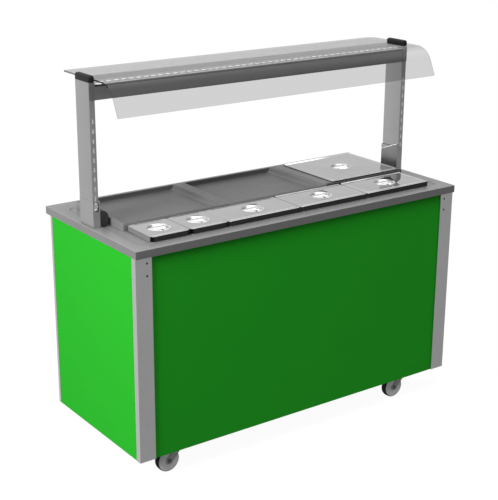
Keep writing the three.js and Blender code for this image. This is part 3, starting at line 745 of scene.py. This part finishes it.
def tray(name):
    x0, x1, y0, y1, z0, z1 = bx(name)
    du0, du1, fu0, fu1 = [u - 752.5 for u in DISH[name]]
    dv0, dv1, fv0, fv1 = 240 - 337.5, 576 - 337.5, 318 - 337.5, 570 - 337.5
    A = (x0, x1, y0, y1)
    depth = z1 - bx("tray_left")[5] + 19
    b = Build()
    K = 12
    def dish(t, off):
        d = 1 - (1 - t) ** 1.9
        e = t
        return ring(du0 + (fu0 - du0) * e, du1 + (fu1 - du1) * e, dv0 + (fv0 - dv0) * e, dv1 + (fv1 - dv1) * e, 9 + 3 * t, z1 - depth * d - off, 6)
    rg = []
    for k in range(K, 0, -1):
        rg.append(dish(k / K, 1.5 if k < K else 1.5))
    rg += [ring(du0 - 2, du1 + 2, dv0 - 2, dv1 + 2, 9, z1 - 1.6, 6)]
    rg += [inset(A, 2.2, 3, z1 - 1.6), inset(A, 1.5, 3, z1 - 2.2), inset(A, 1.5, 3, z0), inset(A, 0, 3, z0), inset(A, 0, 3, z1 - 2.0), inset(A, 0.6, 3, z1 - 0.6), inset(A, 2.0, 4, z1)]
    rg += [ring(du0 - 2.5, du1 + 2.5, dv0 - 2.5, dv1 + 2.5, 10, z1, 6), ring(du0 - 0.8, du1 + 0.8, dv0 - 0.8, dv1 + 0.8, 9, z1 - 0.3, 6)]
    for k in range(1, K + 1):
        rg.append(dish(k / K, 0))
    b.loft(rg)
    o = b.make(name + "_sheet", ["tray", "tray_rim_painted_light", "tray_painted_shade", "tray_end_painted_light"], name, name, smooth=30)
    # painted light and shade on one tray steel: front-facing walls darker, the front upright and left end lighter, the
    # rear top band lighter
    for f in o.data.polygons:
        c = f.center * 1000
        if f.normal.y < -0.55 and abs(f.normal.x) < 0.7:
            f.material_index = 2 if c.y > y0 + 20 else 3
        elif f.normal.x < -0.9 and c.x < x0 + 1:
            f.material_index = 3
        elif c.z > z1 - 0.8 and f.normal.z > 0.5 and c.y > y1 - 14:
            f.material_index = 1


tray("tray_left")
tray("tray_right")
keep("pan_frame", "ring", 0.5)
f = bx("pan_frame")
# thin near-black sheets on the ring's front ledge and upright: painted shadow of the gap under lid 6
b = Build()
b.box(f[0] + 2.5, f[1] - 2.5, f[2] + 0.9, bx("lid_6")[2] + 1.5, f[5] - 0.6, f[5] + 0.35, 0.2, 1)
b.box(f[0] + 2.0, f[1] - 2.0, f[2] - 0.25, f[2] + 0.4, f[5] - 9, f[5] - 0.8, 0.1, 1)
b.make("ring_front_ledge_painted_shade", "gap_dark", "frame")

# ------------------------------------------------------------------ cabinet
for n_ in ("corner_post_front_left", "corner_post_front_right", "corner_post_rear_left", "corner_post_rear_right"):
    keep(n_, "trim", 0.5)
keep("front_panel", "green", 0.4)
keep("end_panel_left", "green", 0.4)
keep("end_panel_right", "green", 0.4)
keep("control_fascia", "fascia", 0.5)
keep("door_left", "door", 0.6)
keep("door_right", "door", 0.6)
keep("mains_inlet", "black", 0.4)
keep("heating_element", "element", 2.5, 3)


def screw_y(name, x, y, z, r, body, sign=-1, mat="screw", h=1.2):
    """Pan head on a face that looks along -Y (sign -1) or +Y."""
    b = Build()
    s = sign
    b.lathe([(0, s * h), (r * 0.25, s * h), (r * 0.3, s * (h - 0.5)), (r * 0.45, s * (h - 0.5)), (r * 0.5, s * h), (r * 0.7, s * (h * 0.85)), (r * 0.95, s * h * 0.4), (r, 0), (0, 0)], "y", (x, y, z), 20)
    b.make(name, mat, body, smooth=50)


def screw_x(name, x, y, z, r, body, sign=-1, slot="gantry_steel", mat="screw", h=0.8):
    b = Build()
    s = sign
    b.lathe([(0, s * h), (r * 0.6, s * h * 0.9), (r * 0.92, s * h * 0.45), (r, 0), (0, 0)], "x", (x, y, z), 18)
    b.make(name, mat, body, smooth=50)


CPL = bx("corner_post_front_left")
CPR = bx("corner_post_front_right")
for k, (x, z) in enumerate(((CPL[0] + 46, 848), (CPL[0] + 46, 802), (CPR[1] - 46, 848), (CPR[1] - 46, 802))):
    screw_y(f"strip_screw_{k + 1}", x, CPL[2], z, 4.2, "frame")

# knobs, switch and lamps on the server's side
F = bx("control_fascia")
FY = F[3]


def knob(node):
    x0, x1, y0, y1, z0, z1 = bx(node)
    cx, cz = (x0 + x1) / 2, (z0 + z1) / 2
    b = Build()
    b.lathe([(0, y0), (20.5, y0), (22, y0 + 0.8), (22, y0 + 3.2), (21, y0 + 4.2), (17.6, y0 + 5.4), (16.6, y0 + 8), (15.8, y1 - 4.2), (14.8, y1 - 2.6), (12.5, y1 - 1.9), (0, y1 - 1.6)], "y", (cx, 0, cz), 48)
    for k in range(18):
        a = 2 * math.pi * k / 18
        b.tube([(cx + 16.7 * math.cos(a), y0 + 5.2, cz + 16.7 * math.sin(a)), (cx + 15.7 * math.cos(a), y1 - 4.2, cz + 15.7 * math.sin(a))], 1.0, 6)
    b.box(cx - 1.4, cx + 1.4, y1 - 3, y1 - 0.4, cz + 1, cz + 13.5, 0.5, 2, 1)
    b.make(node + "_grip", ["black", "mark"], node, node, smooth=40)
    b = Build()
    for k in range(10):
        a = math.radians(90 + 45 - 27 - 27 * k + 27)
        b.tube([(cx + 25.5 * math.cos(a), FY + 0.15, cz + 25.5 * math.sin(a)), (cx + 30 * math.cos(a), FY + 0.15, cz + 30 * math.sin(a))], 0.7, 6, 0, 0.4, (0, 1, 0))
    b.make(node + "_scale", "black", "frame", smooth=40)


knob("knob_cupboard")
knob("knob_well")
keep("rocker_switch", "black", 0.6)
s = bx("rocker_switch")
b = Build()
cx, cz = (s[0] + s[1]) / 2, (s[4] + s[5]) / 2
for (a0_, a1_, c0_, c1_) in ((cx - 13, cx - 8.6, cz - 18, cz + 18), (cx + 8.6, cx + 13, cz - 18, cz + 18), (cx - 13, cx + 13, cz + 14.4, cz + 18), (cx - 13, cx + 13, cz - 18, cz - 14.4)):
    b.box(a0_, a1_, FY + 0.05, FY + 3.2, c0_, c1_, 0.7)
b.make("switch_bezel", "black", "frame")
for k, (dx, mt) in enumerate(((60, "lamp_green"), (100, "lamp_amber"))):
    b = Build()
    b.lathe([(0, 0.05), (9, 0.05), (9, 1.6), (7.6, 2.4), (6.4, 2.4), (6.2, 3.6), (5, 5.4), (2.5, 6.4), (0, 6.6)], "y", (cx + dx, FY, cz), 32, [1, 1, 1, 1, 1, 0, 0, 0, 0])
    b.make(f"pilot_lamp_{k + 1}", [mt, "black"], "frame", smooth=45)

# ------------------------------------------------------------------ gantry
def post(side):
    """Slotted upright with its socket. Only the left socket shows a spring catch."""
    x0, x1, y0, y1, z0, z1 = bx("gantry_post_" + side)
    b = Build()
    A = (x0, x1, y0, y1)
    t = 1.5
    rg = [inset(A, t, 2.5, z0, 4), inset(A, 0, 2.5, z0, 4), inset(A, 0, 2.5, z1, 4), inset(A, t, 2.5, z1, 4)]
    b.loft(rg, caps=(False, False))
    n = len(rg[0])
    b.f += [[3 * n + i, 3 * n + (i + 1) % n, (i + 1) % n, i] for i in range(n)]
    b.m += [0] * n
    o = b.make("post_" + side, "gantry", "frame", "gantry_post_" + side, smooth=35)
    c = Build()
    mid = (x0 + x1) / 2
    for i in range(9):
        z = 1012 + (1290 - 1012) * i / 8
        pts = [(mid + 3 * math.cos(a), z + (6 if math.sin(a) >= 0 else -6) + 3 * math.sin(a)) for a in [2 * math.pi * (k + 0.5) / 12 for k in range(12)]]
        c.prism(pts, "y", y0 - 2, y0 + 4, 0)
    cut(o, c)
    # socket and its spring catch
    keep("gantry_socket_" + side, "gantry", 0.8)
    S = bx("gantry_socket_" + side)
    if side == "right":
        # lining plate on the inner face, with a slanting polished top edge whose glowing finish is a painted highlight
        zr, zf_, zs = 978.0, 1015.0, S[5]
        yc = S[3] - (S[3] - S[2]) * (zs - zr) / (zf_ - zr)
        b = Build()
        b.prism([(S[2] + 0.8, S[4] + 0.6), (S[3] - 0.8, S[4] + 0.6), (S[3] - 0.8, zr), (yc, zs), (S[2] + 0.8, zs)], "x", S[0] - 0.6, S[0] + 0.2, 0.1, 1, 0)
        b.prism([(S[2] + 0.8, zs + 0.05), (yc, zs + 0.05), (S[2] + 0.8, zf_)], "x", S[0] - 0.6, x0 + 0.2, 0.1, 1, 0)
        b.prism([(S[3] - 1, zr - 1.2), (S[3] - 1, zr + 1.2), (S[2] + 6, zf_ + 0.2), (S[2] + 6, zf_ - 2.2)], "x", S[0] - 1.0, x0 + 0.2, 0.1, 1, 1)
        b.make("socket_lining_right", ["socket", "lip"], "frame", smooth=20)
        b = Build()
        b.box(S[0] + 2.5, S[1] - 2.5, S[2] - 0.5, S[2] + 0.5, 957, 999, 0.3)
        b.make("socket_blank_right", "gantry", "frame")
        return x0, x1, y0, y1
    sx0, sx1 = (S[0], S[1])
    m_ = (sx0 + sx1) / 2
    b = Build()
    b.box(sx0 + 6, sx1 - 6, S[2] + 3.0, S[2] + 6.5, 963, 994, 0.8)
    b.tube([(m_ - 4, S[2] + 1.6, 988), (m_ - 1, S[2] + 0.9, 990.5), (m_ + 4, S[2] + 1.2, 991.5), (m_ + 6, S[2] + 2.4, 989)], 1.8, 10)
    b.tube([(m_ - 6, S[2] + 2.6, 968), (m_, S[2] + 1.0, 970), (m_ + 5, S[2] + 2.4, 969)], 1.2, 10)
    b.make("socket_catch_" + side, "chrome", "frame", smooth=50)
    return x0, x1, y0, y1


PL = post("left")
PR = post("right")
x0, x1, y0, y1, z0, z1 = bx("cable_boot_left")
outl = [(0.3, 0), (12.4, 0), (12.4, -3.1), (32.3, -3.1), (34.6, 3), (36.8, 10), (38.4, 17), (39.2, 24), (39.4, 30), (38.8, 36.5), (37.0, 42.5), (34.0, 47.5), (30.0, 51.6), (25.5, 54.6), (20, 56.8), (14, 58.2), (8, 58.8), (0.3, 58.9)]
b = Build()
b.prism([(x0 + p, 900.3 + q) for p, q in outl], "y", y0, y1, 3.5, 4)
b.make("cable_cover_left", "boot", "frame", "cable_boot_left", smooth=50)

# glowing plates behind the front slots of the posts: painted light
for side in ("left", "right"):
    x0, x1, y0, y1, z0, z1 = bx("gantry_post_" + side)
    m_ = (x0 + x1) / 2
    b = Build()
    b.box(m_ - 5, m_ + 5, y0 + 1.9, y0 + 3.4, z0 + 2, z0 + 300, 0.4)
    b.make("slot_backing_painted_light_" + side, "slot_back", "frame")

G = bx("gantry_beam")
GX0, GX1, GY0, GY1, GZ0, GZ1 = G
b = Build()
t = 2
lip = GY0 + 19
zf = GZ1 - 12.7
sec = [(GY0, GZ0), (GY0 + t, GZ0), (GY0 + t, zf - 1), (lip + 0.7, GZ1 - t), (GY1 - t, GZ1 - t), (GY1 - t, GZ0), (GY1, GZ0), (GY1, GZ1), (lip, GZ1), (GY0, zf)]
b.prism(sec, "x", GX0, GX1, 0.5, 2)
o = b.make("beam_channel", ["beam", "beam_top_painted_light", "beam_flat_painted_shade"], "frame", "gantry_beam", smooth=30)
# painted light and shade: sloping top faces take the lighter copy of the beam steel, flat top faces the darker one
for p in o.data.polygons:
    if p.normal.z > 0.35:
        p.material_index = 2 if p.normal.z > 0.93 else 1
c = Build()
dy, dz = 19 / 22.85, 12.7 / 22.85
nslots = 46
for k in range(nslots):
    xm = GX0 + 16 + (GX1 - GX0 - 32) * (k + 0.5) / nslots
    f0 = 0.56
    py, pz = GY0 + 19 * f0, zf + 12.7 * f0
    hw, hh = 10.0, 3.1
    pts = []
    for a in [2 * math.pi * (j + 0.5) / 8 for j in range(8)]:
        pts.append((hw * (1 if math.cos(a) > 0 else -1) * 0.8 + hh * math.cos(a), hh * math.sin(a)))
    lo = [(xm + lx, py + dy * ly + dz * 4, pz + dz * ly - dy * 4) for lx, ly in pts]
    hi = [(xm + lx, py + dy * ly - dz * 4, pz + dz * ly + dy * 4) for lx, ly in pts]
    c.loft([lo, hi])
cut(o, c)
# opal strip under the slotted slope, glowing as painted light seen through the slots
b = Build()
oy, oz = dz * 3.2, -dy * 3.2
b.prism([(GY0 + 19 * 0.12 + oy, zf + 12.7 * 0.12 + oz), (GY0 + 19 * 0.90 + oy, zf + 12.7 * 0.90 + oz), (GY0 + 19 * 0.90 + oy + dz * 1.4, zf + 12.7 * 0.90 + oz - dy * 1.4), (GY0 + 19 * 0.12 + oy + dz * 1.4, zf + 12.7 * 0.12 + oz - dy * 1.4)], "x", GX0 + 4, GX1 - 4, 0.2, 1)
b.make("opal_strip", "strip_light", "frame")

# folded lip with a glowing finish as a painted highlight and a dark strip below it as a painted shadow line, and the
# returns that cover the posts, their upper part in the lighter painted-light copy of the beam steel
b = Build()
b.prism([(GY0 - 0.05, zf - 0.6), (GY0 + 3.4, zf + 1.7), (GY0 + 3.1, zf + 2.5), (GY0 - 0.35, zf + 0.3)], "x", GX0 + 0.5, GX1 - 0.5, 0.1, 1, 0)
b.box(GX0 + 0.5, GX1 - 0.5, GY0 - 0.25, GY0 + 0.4, zf - 8.5, zf - 1.2, 0.1, 1, 1)
b.make("beam_lip", ["lip", "beam_painted_shadow_line"], "frame", smooth=20)
for side in ("left", "right"):
    q = bx("gantry_post_" + side)
    b = Build()
    b.box(q[0] + 0.6, q[1] + 0.2, q[2] - 0.8, q[2] + 0.3, GZ0, zf - 1.2, 0.2, 1, 0)
    b.box(q[0] + 0.6, q[1] + 0.2, q[2] - 0.8, q[2] + 0.3, zf - 1.0, q[5] - 0.4, 0.2, 1, 1)
    b.make("beam_return_" + side, ["beam", "beam_top_painted_light"], "frame", smooth=20)

keep("lamp_reflector", "reflector", 0)
x0, x1, y0, y1, z0, z1 = bx("heat_lamp")
b = Build()
cy, cz, rr = (y0 + y1) / 2, (z0 + z1) / 2, (z1 - z0) / 2
b.lathe([(0, x0), (rr * 0.8, x0), (rr * 0.8, x0 + 22), (rr * 0.98, x0 + 24), (rr * 0.98, x1 - 24), (rr * 0.8, x1 - 22), (rr * 0.8, x1), (0, x1)], "x", (0, cy, cz), 32, [1, 1, 1, 0, 1, 1, 1, 1])
b.make("quartz_tube", ["quartz", "zinc"], "frame", "heat_lamp", smooth=40)

# glass screen: flat over the beam, then curved down in front; notched round the right cap
x0, x1, y0, y1, z0, z1 = bx("glass_screen")
CL, CR = bx("end_cap_left"), bx("end_cap_right")
T, RC, sweep, flat, RCORN = 6.0, 93.1, math.radians(65.8), 255.8 - 337.5, 40.0
cz = z1 - RC
tipz = z0 + T * math.cos(sweep)
nx = -x0                                 # the web of the right cap starts here
prof = []                                # (y, z, normal, right edge, left edge) from the rear edge forward
for k in range(11):
    a = math.pi / 2 * k / 10
    ins = RCORN * (1 - math.sin(a))
    lin = 5.0 * (1 - math.sin(min(1.0, a / math.radians(30)) * math.pi / 2))
    prof.append((y1 - RCORN * (1 - math.cos(a)), z1, (0, 1), x1 - ins, x0 + lin))
ny0, ny1 = CR[3] + 0.5, CR[2] - 0.5
NR = 4.0                                 # corner radius of the notch
prof.append((ny0 + NR + 0.01, z1, (0, 1), x1, x0))
for k in range(1, 5):
    a = math.pi / 2 * k / 4
    prof.append((ny0 + NR * (1 - math.sin(a)) + 0.002 * (4 - k), z1, (0, 1), x1 - NR * (1 - math.cos(a)), x0))
prof.append((ny0, z1, (0, 1), nx, x0))
prof.append((ny1, z1, (0, 1), nx, x0))
for k in range(4, 0, -1):
    a = math.pi / 2 * k / 4
    prof.append((ny1 - NR * (1 - math.sin(a)) - 0.002 * (4 - k), z1, (0, 1), x1 - NR * (1 - math.cos(a)), x0))
prof.append((ny1 - NR - 0.01, z1, (0, 1), x1, x0))
for k in range(0, 25):
    a = sweep * k / 24
    prof.append((flat - RC * math.sin(a), cz + RC * math.cos(a), (-math.sin(a), math.cos(a)), x1, x0))
e = prof[-1]
run = (e[1] - tipz) / math.sin(sweep)
prof.append((e[0] - (run - 5) * math.cos(sweep), e[1] - (run - 5) * math.sin(sweep), e[2], x1, x0))
prof.append((e[0] - (run - 1.5) * math.cos(sweep), e[1] - (run - 1.5) * math.sin(sweep), e[2], x1 - 1.4, x0 + 1.4))
prof.append((e[0] - run * math.cos(sweep), e[1] - run * math.sin(sweep), e[2], x1 - 5, x0 + 5))
verts, faces, mm = [], [], []
EB = 0.8
for (y, z, (ny, nz), Rr, L) in prof:
    verts += [(L + EB, y, z), (Rr - EB, y, z), (Rr, y - ny * EB, z - nz * EB), (Rr, y - ny * (T - EB), z - nz * (T - EB)), (Rr - EB, y - ny * T, z - nz * T), (L + EB, y - ny * T, z - nz * T), (L, y - ny * (T - EB), z - nz * (T - EB)), (L, y - ny * EB, z - nz * EB)]
for k in range(len(prof) - 1):
    ym = (prof[k][0] + prof[k + 1][0]) / 2
    left = 2 if ym > CL[2] else (3 if k < len(prof) - 17 else 1)
    for j in range(8):
        a_, b_ = k * 8 + j, k * 8 + (j + 1) % 8
        faces.append([a_, b_, b_ + 8, a_ + 8])
        mm.append(0 if j in (0, 4) else (1 if j in (1, 2, 3) else left))
faces.append(list(range(8)))
mm.append(1)
faces.append([(len(prof) - 1) * 8 + j for j in range(8)][::-1])
mm.append(1)
b = Build()
b.add(verts, faces, mm)
b.make("curved_screen", ["glass", "glass_edge", "glass_edge_left", "glass_edge_front"], "frame", "glass_screen", smooth=25, weld=False)

# end caps that clamp the glass
for side in ("left", "right"):
    x0, x1, y0, y1, z0, z1 = bx("end_cap_" + side)
    b = Build()
    A = (x0, x1, y0, y1)
    rg = [inset(A, 0, 5, z0, 6), inset(A, 0, 5, z1 - 9, 6)]
    for k in range(1, 7):
        a = math.pi / 2 * k / 6
        rg.append(inset(A, 7 * (1 - math.cos(a)), 5 + 3 * math.sin(a), z1 - 9 + 9 * math.sin(a), 6))
    b.loft(rg)
    o = b.make("cap_" + side, "black", "frame", "end_cap_" + side, smooth=45)
    gb = bx("glass_screen")
    c = Build()
    if side == "left":
        c.box(gb[0] - 0.5, x1 + 5, y0 - 5, y1 + 5, gb[5] - T - 0.4, gb[5] + 0.4, 0)
    else:
        c.box(x0 - 5, -gb[0] + 0.5, y0 - 5, y1 + 5, gb[5] - T - 0.4, gb[5] + 0.4, 0)
    cut(o, c)

# ------------------------------------------------------------------ casters
def caster(tag):
    x0, x1, y0, y1, z0, z1 = bx("caster_wheel_" + tag)
    cx, cy, cz, R_, hy = (x0 + x1) / 2, (y0 + y1) / 2, (z0 + z1) / 2, (z1 - z0) / 2, (y1 - y0) / 2
    b = Build()
    pr = [(40, -hy + 3.0), (43.2, -hy + 2.0)]
    for k in range(0, 9):
        a = math.radians(-78 + 156 * k / 8)
        pr.append((R_ - 2.6 + 2.6 * math.cos(a) ** 0.8 if k not in (0, 8) else 44.2, (hy - 2.4) * math.sin(a)))
    pr += [(43.2, hy - 2.0), (40, hy - 3.0)]
    b.lathe(pr, "y", (cx, cy, cz), 64)
    b.make("tyre_" + tag, "rubber", "wheel_" + tag, "caster_wheel_" + tag, smooth=40)
    b = Build()
    b.lathe([(6, -hy + 0.2), (33, -hy + 0.2), (38, -hy + 0.5), (41.4, -hy + 1.3), (42.8, -hy + 2.2), (40.5, -hy + 4), (40.5, hy - 4), (42.8, hy - 2.2), (41.4, hy - 1.3), (38, hy - 0.5), (33, hy - 0.2), (6, hy - 0.2)], "y", (cx, cy, cz), 56)
    b.make("wheel_centre_" + tag, "disc", "wheel_" + tag, smooth=40)
    # fork: two pressed legs, crown, race and plate
    fx0, fx1, fy0, fy1, fz0, fz1 = bx("caster_fork_" + tag)
    sx = (fx0 + fx1) / 2
    sx = cx + 49
    b = Build()
    leg = [(sx - 23, 106), (sx + 18, 106), (sx + 18, 99), (sx + 12, 91), (sx + 2, 79), (sx - 8, 70), (cx + 26, 53), (cx + 14, 38.5), (cx + 8, 33.5), (cx, 31.6), (cx - 9, 34), (cx - 13.6, 41), (cx - 14, 49), (cx - 10, 56), (sx - 36, 76), (sx - 27, 88), (sx - 23, 96)]
    for sy in (-1, 1):
        a_, c_ = sorted((cy + sy * (hy + 0.35), cy + sy * (hy + 2.75)))
        b.prism(leg, "y", a_, c_, 0.7, 2)
    b.box(sx - 23, sx + 18, cy - hy - 2.7, cy + hy + 2.7, 103, 106, 0.8)
    b.lathe([(0, 105), (24, 105), (25, 106), (25, 109), (23.5, 110.4), (25.5, 111.4), (27.4, 112), (28, 113), (28, fz1 - 1), (27, fz1), (0, fz1)], "z", (sx, cy, 0), 40)
    b.lathe([(0, -hy - 4.4), (4.2, -hy - 4.4), (5, -hy - 3.8), (5, hy + 3.8), (4.2, hy + 4.4), (0, hy + 4.4)], "y", (cx, cy, cz), 20)
    b.make("fork_" + tag, "zinc", "caster_" + tag, "caster_fork_" + tag, smooth=40)
    for sy, nm in ((-1, "outer"), (1, "inner")):
        b = Build()
        y = cy + sy * (hy + 2.8)
        b.lathe([(0, sy * 1.65), (3.6, sy * 1.65), (4.6, sy * 1.3), (5.6, sy * 1.1), (7.8, sy * 0.9), (8.4, 0.0), (0, 0)], "y", (cx, y, cz), 24)
        b.make(f"axle_bolt_{nm}_{tag}", "screw", "caster_" + tag, smooth=40)


for tag in ("front_left", "front_right", "rear_left", "rear_right"):
    caster(tag)
